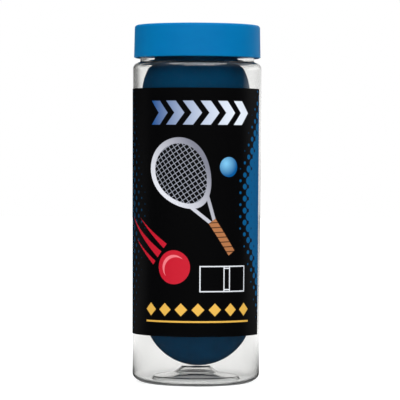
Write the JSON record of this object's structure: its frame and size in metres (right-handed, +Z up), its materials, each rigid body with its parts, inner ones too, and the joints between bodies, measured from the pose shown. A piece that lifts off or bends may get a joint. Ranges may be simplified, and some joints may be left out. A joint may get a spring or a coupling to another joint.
{
  "type": "canned racquetballs",
  "caption": "Clear plastic can of hollow rubber racquetballs with a seamed ring-pull end, a push-on overcap and a wrap label.",
  "frame": {"origin": "middle of the can's standing ring, on the plane that the can stands on", "axes": "+Z up along the can's axis; -Y towards the middle of the label; +X to the right of the label"},
  "size_m": [0.0681, 0.0682, 0.189],
  "materials": {
    "clear_plastic": "gloss",
    "end_metal": "satin",
    "compound": "matte",
    "cap_plastic": "satin",
    "label_film": "gloss",
    "ball_rubber": "matte"
  },
  "bodies": {
    "can": {"can_body": "clear_plastic", "can_end": "end_metal", "seam_compound": "compound", "tab_tongue": "end_metal", "label": "label_film"},
    "overcap": {"overcap": "cap_plastic"},
    "pull_tab": {"pull_tab": "end_metal"},
    "ball_1": {"ball_1_upper_half": "ball_rubber", "ball_1_lower_half": "ball_rubber"},
    "ball_2": {"ball_2_upper_half": "ball_rubber", "ball_2_lower_half": "ball_rubber"},
    "ball_3": {"ball_3_upper_half": "ball_rubber", "ball_3_lower_half": "ball_rubber"}
  },
  "joints": [
    {"name": "overcap_lift", "type": "slide", "parent": "can", "child": "overcap", "axis": [0, 0, 1], "range_m": [0, 0.03]},
    {"name": "tab_lift", "type": "hinge", "parent": "can", "child": "pull_tab", "pos_m": [0, 0.0223, 0.18268], "axis": [-1, 0, 0], "range_deg": [0, 6]},
    {"name": "ball_1_spin", "type": "hinge", "parent": "can", "child": "ball_1", "pos_m": [0.0012, 0, 0.03798], "axis": [0, 0, 1], "continuous": true},
    {"name": "ball_2_spin", "type": "hinge", "parent": "can", "child": "ball_2", "pos_m": [0.0003, 0, 0.09532], "axis": [0, 0, 1], "continuous": true},
    {"name": "ball_3_spin", "type": "hinge", "parent": "can", "child": "ball_3", "pos_m": [-0.0006, 0, 0.15268], "axis": [0, 0, 1], "continuous": true}
  ]
}
